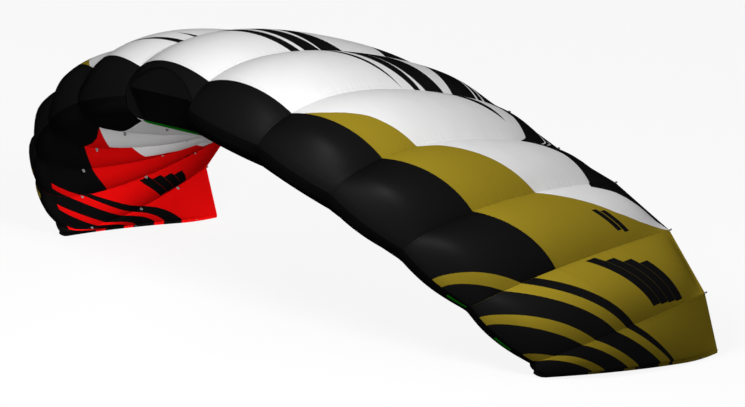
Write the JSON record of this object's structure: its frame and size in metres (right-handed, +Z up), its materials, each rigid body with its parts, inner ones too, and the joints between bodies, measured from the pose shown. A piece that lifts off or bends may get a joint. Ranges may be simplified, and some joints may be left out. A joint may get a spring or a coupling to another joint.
{
  "type": "foil kite",
  "caption": "Inflated canopy of a small closed-cell foil kite: an arch of billowed cloth cells between ribs, with a valved inlet under the nose, standing on its two tips.",
  "frame": {"origin": "on the ground, in the middle of the canopy's box", "axes": "+X along the span towards the right tip, the nose faces -Y, +Z up; both tip edges lie on z = 0"},
  "size_m": [2.1682, 1.3636, 0.8099],
  "materials": {
    "white cloth": "satin ripstop nylon",
    "gold cloth": "satin ripstop nylon",
    "red cloth": "satin ripstop nylon",
    "black cloth": "satin ripstop nylon",
    "rib cloth": "matt ripstop nylon with grey webbing loops",
    "green tape": "woven tape",
    "inlet mesh": "open black mesh",
    "valve cloth": "matt coated cloth",
    "zip tape": "woven zip tape with moulded coil teeth",
    "slider": "cast, satin"
  },
  "bodies": {
    "canopy": {"deflation_zip_tape": "zip tape", "inlet_arch_panel": "black cloth", "inlet_lip_tape": "green tape", "inlet_mesh": "inlet mesh", "leading_edge_tape_left": "black cloth", "leading_edge_tape_right": "black cloth", "lower_skin_01": "black cloth", "lower_skin_02": "red cloth", "lower_skin_03": "red cloth", "lower_skin_04": "white cloth", "lower_skin_05": "white cloth", "lower_skin_06": "white cloth", "lower_skin_07": "white cloth", "lower_skin_08": "white cloth", "lower_skin_09": "white cloth", "lower_skin_10": "white cloth", "lower_skin_11": "red cloth", "lower_skin_12": "red cloth", "lower_skin_13": "black cloth", "nose_panel_02": "black cloth", "nose_panel_03": "black cloth", "nose_panel_04": "black cloth", "nose_panel_05": "black cloth", "nose_panel_06": "black cloth", "nose_panel_07": "black cloth", "nose_panel_08": "black cloth", "nose_panel_09": "black cloth", "nose_panel_10": "black cloth", "nose_panel_11": "black cloth", "nose_panel_12": "black cloth", "rib_01": "rib cloth", "rib_02": "rib cloth", "rib_03": "rib cloth", "rib_04": "rib cloth", "rib_05": "rib cloth", "rib_06": "rib cloth", "rib_07": "rib cloth", "rib_08": "rib cloth", "rib_09": "rib cloth", "rib_10": "rib cloth", "rib_11": "rib cloth", "rib_12": "rib cloth", "tip_hem_left": "black cloth", "tip_hem_right": "black cloth", "trailing_edge_hem": "black cloth", "upper_skin_01": "black cloth", "upper_skin_02": "gold cloth", "upper_skin_03": "gold cloth", "upper_skin_04": "white cloth", "upper_skin_05": "white cloth", "upper_skin_06": "white cloth", "upper_skin_07": "white cloth", "upper_skin_08": "white cloth", "upper_skin_09": "white cloth", "upper_skin_10": "white cloth", "upper_skin_11": "gold cloth", "upper_skin_12": "gold cloth", "upper_skin_13": "black cloth"},
    "valve_flap": {"inlet_valve_flap": "valve cloth"},
    "slider": {"zip_slider": "slider"}
  },
  "joints": [
    {"name": "valve_flap_swing", "type": "hinge", "parent": "canopy", "child": "valve_flap", "pos_m": [0, -0.65481, 0.62474], "axis": [1, 0, 0], "range_deg": [0, 50]},
    {"name": "zip_slide", "type": "slide", "parent": "canopy", "child": "slider", "axis": [0, 0.9694, 0.2454], "range_m": [0, 0.14]}
  ]
}
